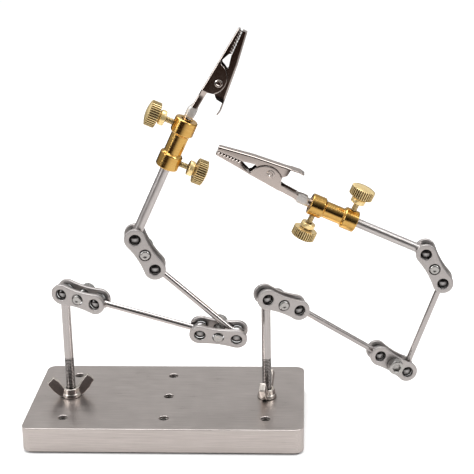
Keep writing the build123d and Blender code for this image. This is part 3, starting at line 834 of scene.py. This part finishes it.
def clamp_screw_shell():
    """A socket head screw with its head at the low end and its tip standing out at the high end. The
    head stays a hair off its plate, so that it can turn."""
    seat = -PLATE_HALF_GAP - PLATE_THICKNESS
    under = seat - SCREW_HEAD_GAP
    tip = -seat + SCREW_STANDOUT
    foot = seat - SCREW_HEAD_HEIGHT
    wide = SCREW_HEAD_RADIUS
    ridges = knurled(wide, SCREW_RIDGE_DEPTH, SCREW_RIDGES)
    head = lathe([
        (foot + HEX_DEPTH + 0.6, 0.0), (foot + HEX_DEPTH, hexagon(HEX_APOTHEM * 0.98)),
        (foot + 0.15, hexagon(HEX_APOTHEM)), (foot, hexagon(HEX_APOTHEM + 0.15)),
        (foot, wide - 0.45), (foot + 0.15, wide - 0.2), (foot + 0.55, ridges), (seat - 0.9, ridges),
        (seat - 0.8, wide - 0.25), (seat - 0.2, wide - 0.2), (under, wide - 0.4), (under, 0.0),
    ], 4 * SCREW_RIDGES)
    shank = closed_thread(seat - 0.5, tip - 0.2, SCREW_RADIUS, SCREW_THREAD_DEPTH)
    point = lathe([
        (tip - 0.75, 0.0), (tip - 0.75, SCREW_RADIUS - 0.25), (tip - 0.35, SCREW_RADIUS - 0.05),
        (tip - 0.1, SCREW_RADIUS - 0.25), (tip, SCREW_RADIUS - 0.5), (tip, 1.0), (tip - 0.12, 0.8),
        (tip - 0.12, 0.0),
    ], 48)
    return joined(head, shank, point)


def make_clamp(side, number):
    incoming = joint_place(f"{side}_clamp_{number}_swing")
    outgoing = joint_place(f"{side}_end_rod_swing" if number == 3 else f"{side}_rod_{number}_swing")
    tip_direction = -joint_axis(f"{side}_clamp_{number}_screw_turn")
    spacing = (outgoing - incoming).length / MM
    place = frame_at((incoming + outgoing) / 2, tip_direction, outgoing - incoming)
    body = f"{side}_clamp_{number}"
    plates = [f"{body}_front_plate", f"{body}_back_plate"]
    plates.sort(key=lambda node: box_centre(node).dot(tip_direction))
    head_side, tip_side = plates
    turn = Matrix.Rotation(math.pi, 4, "X")
    add_node(tip_side, plate_shell(spacing), place, body, "clamp_steel")
    add_node(head_side, moved(plate_shell(spacing), turn), place, body, "clamp_steel")
    add_node(f"{body}_screw", clamp_screw_shell(), place, f"{body}_screw", "screw_steel")


# ---------- coupling and thumb screws

def coupling_shell():
    """A bored sleeve along z with a waist, the same at both ends."""
    end = COUPLING_END_RADIUS
    bore = COUPLING_BORE_RADIUS
    shoulder = COUPLING_END_LENGTH
    near = [(0.0, bore + 0.5), (0.0, end - 0.45), (0.45, end), (shoulder - 1.1, end),
            (shoulder - 0.5, end - 0.55), (shoulder - 0.1, COUPLING_WAIST_RADIUS)]
    far = [(COUPLING_LENGTH - z, r) for z, r in reversed(near)]
    hole = [(COUPLING_LENGTH - 0.5, bore), (0.5, bore)]
    return lathe(rounded(near + far + hole, 0.18), 96, closed=True)


def thumb_screw_shell(reach):
    """A thumb screw whose tip is reach from the coupling's axis."""
    low = THUMB_FLANGE_BOTTOM
    high = THUMB_FLANGE_TOP
    seat = THUMB_HEAD_BOTTOM
    flange = THUMB_FLANGE_RADIUS
    neck = THUMB_NECK_RADIUS
    ridges = knurled(THUMB_HEAD_RADIUS, THUMB_RIDGE_DEPTH, THUMB_RIDGES)
    lower = rounded([
        (low, 0.0), (low, flange - 0.3), (low + 0.3, flange), (high - 0.3, flange), (high, flange - 0.4),
        (high + 0.1, neck + 0.2), (high + 0.4, neck), (seat - 0.3, neck), (seat, neck + 0.3),
        (seat + 0.05, THUMB_HEAD_RADIUS - 0.6),
    ], 0.12)
    head = [(seat + 0.35, ridges), (THUMB_KNURL_TOP - 0.3, ridges),
            (THUMB_KNURL_TOP - 0.05, THUMB_HEAD_RADIUS - 0.5)]
    rise = THUMB_CROWN - THUMB_KNURL_TOP
    dome = (THUMB_DOME_RADIUS ** 2 + rise ** 2) / (2 * rise)
    steps = 8
    cap = []
    for i in range(steps + 1):
        r = THUMB_DOME_RADIUS * (1 - i / steps)
        cap.append((THUMB_CROWN - dome + math.sqrt(dome ** 2 - r ** 2), r))
    turned = lathe(lower + head + cap, 8 * THUMB_RIDGES)
    shank = closed_thread(reach + THUMB_THREAD_PITCH, low + 0.6, THUMB_SHANK_RADIUS,
                          THUMB_THREAD_DEPTH, THUMB_THREAD_PITCH)
    return joined(turned, shank)


def clip_size(side):
    """How big this arm's clip is, as a share of full size."""
    reach = joint_place(f"{side}_jaw_open") - joint_place(f"{side}_clip_turn")
    return reach.length / MM / math.hypot(*PIVOT)


def make_coupling(side):
    near = joint_place(f"{side}_coupling_turn")
    far = joint_place(f"{side}_clip_turn")
    outward = joint_axis(f"{side}_rod_thumb_screw_turn")
    place = frame_at(near, far - near, outward)
    add_node(f"{side}_coupling", coupling_shell(), place, f"{side}_coupling", "brass")
    tang_radius = TANG_RADIUS * clip_size(side)
    for name, reach in (("rod_thumb_screw", THICK_ROD_RADIUS), ("clip_thumb_screw", tang_radius)):
        node = f"{side}_{name}"
        joint = f"{node}_turn"
        place = frame_at(joint_place(joint), joint_axis(joint), far - near)
        screw = thumb_screw_shell(reach + THUMB_TIP_GAP)
        add_node(node, screw, place, node, "brass", sharp_angle=25, look="thumb_brass")


# ---------- alligator clip

def between(stations, x):
    """A value at x from a rising list of (x, value) stations, held level past its ends."""
    for (x0, v0), (x1, v1) in zip(stations, stations[1:]):
        if x <= x1:
            return v0 + (v1 - v0) * max(0.0, x - x0) / (x1 - x0)
    return stations[-1][1]


def floor_z(x):
    return between([FLOOR_START, FLOOR_END], x)


def tooth_z(x, low_z, high_z):
    """Height of a row of even teeth at x, from their lowest and highest z."""
    if not TEETH_START_X <= x <= TEETH_END_X:
        return low_z
    share = (x - TEETH_START_X) / (TEETH_END_X - TEETH_START_X) * TOOTH_COUNT % 1
    return low_z + (high_z - low_z) * (1 - abs(2 * share - 1))


def tooth_stations():
    """The x of each tooth's foot and tip."""
    return spread(TEETH_START_X, TEETH_END_X, (TEETH_END_X - TEETH_START_X) / TOOTH_COUNT / 2)


def fixed_rim_z(x):
    """Height of the fixed jaw's upper edge: neck, round ear, dip and teeth."""
    if x < EAR_BACK_X:
        return between(NECK_RIM, x)
    if x <= EAR_FRONT_X:
        return EAR_CENTRE[1] + math.sqrt(EAR_RADIUS ** 2 - (x - EAR_CENTRE[0]) ** 2)
    if x < TEETH_START_X:
        return between(THROAT_RIM, x)
    return tooth_z(x, *FIXED_TEETH)


def moving_rim_z(x):
    """Height of the moving jaw's lower edge: lever, heel, round lobe about the pivot and teeth."""
    if x < PIVOT[0] - 0.8 * LOBE_RADIUS:
        return between(LEVER_RIM, x)
    if x <= PIVOT[0] + 0.8 * LOBE_RADIUS:
        return PIVOT[1] - math.sqrt(LOBE_RADIUS ** 2 - (x - PIVOT[0]) ** 2)
    if x < TEETH_START_X:
        return between(MOUTH_RIM, x)
    return tooth_z(x, *MOVING_TEETH)


def moving_back_z(x):
    return between(MOVING_BACK, x)


def section(half, floor, rim, bend, up, rim_round):
    """Half of a folded section from the rim down the wall and round the bend to the middle of the
    floor, as (across, height) points. up is 1 for a channel open upwards and -1 for one open down. A
    negative rim_round sets the rim back to the other side, for the inside of the sheet."""
    bend = min(bend, half, max(0.02, abs(rim - floor)))
    wall_foot = floor + up * bend
    reach = 0.9 * min(1.0, abs(rim - wall_foot))
    drop = min(abs(rim_round), 0.5 * reach)
    points = [(half - rim_round, rim), (half - 0.3 * rim_round, rim - up * 0.3 * drop),
              (half, rim - up * drop), (half, rim - up * reach), (half, wall_foot)]
    for i in range(1, 6):
        angle = math.pi / 2 * i / 5
        points.append((half - bend + bend * math.cos(angle), floor + up * bend * (1 - math.sin(angle))))
    points.append(((half - bend) / 2, floor))
    return points


def full_section(half_points):
    """A half section and its mirror image, as one row of points."""
    return half_points + [(-y, z) for y, z in reversed(half_points)]


def sheet_solid(rings):
    """A solid from rings of points that each run along one side of a sheet and back on the other."""
    columns = len(rings[0])
    points = [point for ring in rings for point in ring]
    faces = grid_faces(len(rings), columns, True)
    for start, flip in ((0, False), (len(points) - columns, True)):
        for k in range(columns // 2 - 1):
            quad = (start + k, start + k + 1, start + columns - 2 - k, start + columns - 1 - k)
            faces.append(tuple(reversed(quad)) if flip else quad)
    return cleaned((points, faces))


def channel(xs, half_width, floor, rim, bend, up, nose_x=math.inf):
    """A folded sheet along x, open up or down. It is closed by a wall at the nose, if it has one."""
    rings = []
    for x in xs:
        edge = rim(x)
        outside = full_section(section(half_width(x), floor(x), edge, bend(x), up, RIM_ROUND))
        inner_floor = edge if x > nose_x - SHEET else floor(x) + up * SHEET
        if up * (inner_floor - edge) > 0:
            inner_floor = edge
        inner_bend = max(0.05, bend(x) - SHEET)
        inner = section(half_width(x) - SHEET, inner_floor, edge, inner_bend, up, -RIM_ROUND / 2)
        rings.append([(x, y, z) for y, z in outside + full_section(inner)[::-1]])
    return sheet_solid(rings)


def spread(start, end, step):
    count = max(1, round((end - start) / step))
    return [start + (end - start) * i / count for i in range(count + 1)]


def merged_stations(*groups):
    xs = sorted(x for group in groups for x in group)
    kept = [xs[0]]
    for x in xs[1:]:
        if x - kept[-1] > 0.02:
            kept.append(x)
    return kept


def tang_shell(steps=28):
    """A rolled tube along x with an open seam on its upper side."""
    gap = math.degrees(SEAM_HALF_ANGLE)
    rings = []
    for x in (TANG_START, TANG_END):
        outside = arc((0, 0), TANG_RADIUS, 90 + gap, 450 - gap, steps)
        inside = arc((0, 0), TANG_RADIUS - SHEET, 90 + gap, 450 - gap, steps)
        rings.append([(x, y, z) for y, z in outside + inside[::-1]])
    return sheet_solid(rings)


def fixed_jaw_shell():
    nose_x = FLOOR_END[0]
    widths = [(FLOOR_START[0], NECK_HALF_WIDTH), (15.4, NECK_HALF_WIDTH), (17.8, EAR_HALF_WIDTH),
              (EAR_FRONT_X, EAR_HALF_WIDTH), (TEETH_START_X, MOVING_HALF_WIDTH), (nose_x, NOSE_HALF_WIDTH)]
    xs = merged_stations(spread(7.4, 17.0, 1.2), spread(17.0, 19.4, 0.3), spread(19.4, EAR_FRONT_X, 0.7),
                         [EAR_BACK_X, 35.1, 37.0, 38.5], tooth_stations(),
                         [nose_x - SHEET - 0.02, nose_x - SHEET + 0.02, nose_x])
    body = channel(xs, lambda x: between(widths, x), floor_z, fixed_rim_z, lambda x: BEND_RADIUS, 1, nose_x)
    return joined(body, tang_shell())


def crimp_shell():
    """The round-bottomed channel between the tang and the neck, squeezed flat at its sides."""
    rims = [(CRIMP_START, 0.2), (1.5, 1.8), (2.6, 2.9), (5.2, 3.0), (6.6, 2.8), (CRIMP_END, 2.4)]
    floors = [(CRIMP_START, -1.9), (1.7, -2.3), (6.0, -2.3), (CRIMP_END, -1.1)]
    halves = [(CRIMP_START, 2.0), (2.4, 2.3), (CRIMP_END, 2.5)]
    return channel(spread(CRIMP_START, CRIMP_END, 0.4), lambda x: between(halves, x),
                   lambda x: between(floors, x), lambda x: between(rims, x), lambda x: CRIMP_BEND, 1)


def moving_jaw_shell():
    nose_x = FLOOR_END[0]
    widths = [(8.8, 1.6), (9.0, 2.2), (9.6, 2.85), (10.4, 3.2), (11.3, LEVER_HALF_WIDTH),
              (15.5, LEVER_HALF_WIDTH), (18.0, MOVING_HALF_WIDTH), (EAR_FRONT_X, MOVING_HALF_WIDTH),
              (nose_x, NOSE_HALF_WIDTH)]
    xs = merged_stations(spread(8.8, 10.4, 0.27), spread(10.4, 16.0, 0.9), spread(16.0, 17.4, 0.2),
                         spread(17.4, 21.46, 0.8), spread(21.46, 27.54, 0.5), spread(27.54, 39.0, 1.2),
                         [33.5], tooth_stations(), [nose_x - SHEET - 0.02, nose_x - SHEET + 0.02, nose_x])
    bends = [(8.8, 0.3), (16.0, 0.35), (18.0, BEND_RADIUS), (nose_x, BEND_RADIUS)]
    return channel(xs, lambda x: between(widths, x), moving_back_z, moving_rim_z,
                   lambda x: between(bends, x), -1, nose_x)


def rivet_shell():
    """A hollow rivet along z with a rolled ring at each end."""
    half = EAR_HALF_WIDTH
    head = RIVET_HEAD_RADIUS
    ring = [(half - 0.3, RIVET_RADIUS), (half, head - 0.05), (half + 0.22, head), (half + 0.45, head - 0.35),
            (half + 0.42, 1.15), (half + 0.1, 0.85), (half - 1.6, 0.8), (half - 1.7, 0.0)]
    return lathe([(-z, r) for z, r in reversed(ring)] + ring, 40)


def coil_points(start, end):
    """Points of the spring's coil about z, from start to end in turns."""
    steps = max(2, round((end - start) * 28))
    points = []
    for i in range(steps + 1):
        turn = start + (end - start) * i / steps
        angle = 2 * math.pi * turn - math.pi / 2
        points.append((SPRING_COIL_RADIUS * math.cos(angle), SPRING_COIL_RADIUS * math.sin(angle),
                       SPRING_PITCH * (turn - SPRING_TURNS / 2)))
    return points


def spring_shell():
    """The coil of a torsion spring about z, with the leg that runs back along the fixed jaw."""
    path = coil_points(0, SPRING_TURNS)
    x, y, z = path[0]
    return tube([(x + LOWER_LEG[0], y + LOWER_LEG[1], z)] + path, SPRING_WIRE_RADIUS)


def spring_leg_shell():
    """The leg under the finger lever. It swings with the moving jaw, and its first part lies inside
    the end of the coil, so that the two stay joined."""
    path = coil_points(SPRING_TURNS - SPRING_LEG_OVERLAP, SPRING_TURNS)
    x, y, z = path[-1]
    return tube(path + [(x + UPPER_LEG[0], y + UPPER_LEG[1], z)], SPRING_WIRE_RADIUS - 0.02)


def make_clip(side):
    start = joint_place(f"{side}_clip_turn")
    pivot = joint_place(f"{side}_jaw_open")
    along = joint_axis(f"{side}_clip_turn")
    if along.dot(pivot - start) < 0:
        along = -along
    up = pivot - start
    up = (up - along * up.dot(along)).normalized()
    across = up.cross(along)
    turn = Matrix((along, across, up)).transposed().to_4x4()
    place = Matrix.Translation(start) @ turn @ Matrix.Scale(clip_size(side), 4)
    clip = f"{side}_clip"
    add_node(f"{side}_fixed_jaw", fixed_jaw_shell(), place, clip, "clip_nickel", bevel=CLIP_BEVEL)
    # The crimp is drawn in the paler copy of the clip metal, which is painted light.
    add_piece(f"{side}_crimp", crimp_shell(), place, clip, "clip_nickel", bevel=CLIP_BEVEL, look="crimp_pale_nickel")
    jaw = f"{side}_moving_jaw"
    add_node(jaw, moving_jaw_shell(), place, jaw, "clip_nickel", bevel=CLIP_BEVEL)
    centre = place @ Matrix.Translation((PIVOT[0] * MM, 0, PIVOT[1] * MM))
    lying = centre @ Matrix.Rotation(math.pi / 2, 4, "X")
    add_node(f"{side}_jaw_rivet", rivet_shell(), lying, clip, "clip_nickel")
    add_node(f"{side}_jaw_spring", spring_shell(), lying, clip, "clip_nickel")
    add_piece(f"{side}_jaw_spring_leg", spring_leg_shell(), lying, jaw, "clip_nickel")


# ---------- studio

def add_floor():
    mesh = bpy.data.meshes.new("floor")
    corners = [(x * FLOOR_REACH, y * FLOOR_REACH, 0) for x, y in ((-1, -1), (1, -1), (1, 1), (-1, 1))]
    mesh.from_pydata(corners, [], [(0, 1, 2, 3)])
    floor = bpy.data.objects.new("floor", mesh)
    bpy.context.scene.collection.objects.link(floor)
    g = Graph("pale floor")
    pale = g.mix(g.ramp(g.noise(0.02), 0.0, 1.0), (0.90, 0.90, 0.90), (0.93, 0.93, 0.93))
    length = g.nodes.new("ShaderNodeVectorMath")
    length.operation = "LENGTH"
    g.links.new(g.place, length.inputs[0])
    away = g.ramp(length.outputs["Value"], 0.0, 1.0, 0.28, 0.72)
    # Painted reflection: glossy rays see the floor mid grey near the middle, fading to nearly black farther
    # out.
    reflected = g.mix(away, (0.50, 0.485, 0.475), (0.022, 0.012, 0.008))
    path = g.nodes.new("ShaderNodeLightPath")
    colour = g.mix(path.outputs["Is Glossy Ray"], pale, reflected)
    g.set(Base_Color=colour, Roughness=0.9, Specular_IOR_Level=0.0)
    mesh.materials.append(g.material)


def add_area_light(name, place, size, power):
    """A light turned to the middle of the arms."""
    light = bpy.data.lights.new(name, "AREA")
    light.shape = "RECTANGLE"
    light.size, light.size_y = size
    light.energy = power
    obj = bpy.data.objects.new(name, light)
    bpy.context.scene.collection.objects.link(obj)
    obj.location = place
    obj.rotation_mode = "QUATERNION"
    obj.rotation_quaternion = (Vector(LIGHT_TARGET) - Vector(place)).to_track_quat("-Z", "Y")


def add_world():
    """White light all round for the floor, and a studio of light and dark for what metal reflects."""
    world = bpy.data.worlds.new("studio")
    world.use_nodes = True
    nodes = world.node_tree.nodes
    links = world.node_tree.links
    nodes.clear()
    output = nodes.new("ShaderNodeOutputWorld")
    plain = nodes.new("ShaderNodeBackground")
    plain.inputs["Color"].default_value = (1, 1, 1, 1)
    plain.inputs["Strength"].default_value = 1.05
    seen = nodes.new("ShaderNodeBackground")
    direction = nodes.new("ShaderNodeTexCoord").outputs["Generated"]
    parts = nodes.new("ShaderNodeSeparateXYZ")
    links.new(direction, parts.inputs["Vector"])
    ramp = nodes.new("ShaderNodeValToRGB")
    ramp.color_ramp.elements[0].color = (0.10, 0.095, 0.09, 1)
    ramp.color_ramp.elements[1].color = (0.9, 0.9, 0.9, 1)
    for position, value in ((0.08, 0.15), (0.2, 0.55), (0.4, 0.50), (0.62, 0.32), (0.8, 0.55)):
        element = ramp.color_ramp.elements.new(position)
        element.color = (value, value * 0.985, value * 0.97, 1)
    links.new(parts.outputs["Z"], ramp.inputs["Fac"])
    links.new(ramp.outputs["Color"], seen.inputs["Color"])
    front = nodes.new("ShaderNodeMapRange")
    front.interpolation_type = "SMOOTHSTEP"
    for name, value in (("From Min", -0.97), ("From Max", -0.35), ("To Min", 0.03), ("To Max", 1.0)):
        front.inputs[name].default_value = value
    links.new(parts.outputs["Y"], front.inputs["Value"])
    links.new(front.outputs["Result"], seen.inputs["Strength"])
    path = nodes.new("ShaderNodeLightPath")
    mix = nodes.new("ShaderNodeMixShader")
    links.new(path.outputs["Is Glossy Ray"], mix.inputs["Fac"])
    links.new(plain.outputs["Background"], mix.inputs[1])
    links.new(seen.outputs["Background"], mix.inputs[2])
    links.new(mix.outputs["Shader"], output.inputs["Surface"])
    bpy.context.scene.world = world


def add_camera():
    yaw = math.radians(CAMERA_YAW)
    pitch = math.radians(CAMERA_PITCH)
    roll = math.radians(CAMERA_ROLL)
    forward = Vector((math.sin(yaw) * math.cos(pitch), math.cos(yaw) * math.cos(pitch), -math.sin(pitch)))
    level = Vector((math.cos(yaw), -math.sin(yaw), 0))
    upright = level.cross(forward)
    right = level * math.cos(roll) + upright * math.sin(roll)
    up = upright * math.cos(roll) - level * math.sin(roll)
    data = bpy.data.cameras.new("camera")
    data.lens = CAMERA_LENS
    data.sensor_width = 36
    data.clip_start = 0.01
    camera = bpy.data.objects.new("camera", data)
    bpy.context.scene.collection.objects.link(camera)
    turn = Matrix((right, up, -forward)).transposed().to_4x4()
    camera.matrix_world = Matrix.Translation(CAMERA_PLACE) @ turn
    bpy.context.scene.camera = camera


def add_studio():
    add_floor()
    add_world()
    add_area_light("overhead", (0.0, 0.1, 0.9), (0.9, 0.6), 6)
    add_area_light("left_box", (-0.8, -0.5, 0.6), (0.25, 0.7), 3.4)
    add_area_light("right_box", (0.9, -0.3, 0.7), (0.2, 0.6), 2.6)
    bpy.context.scene.view_settings.view_transform = "Standard"


make_base()
for side in ("left", "right"):
    make_rods(side)
    make_wing_nut(side)
    for number in (1, 2, 3):
        make_clamp(side, number)
    make_coupling(side)
    make_clip(side)
add_studio()
add_camera()
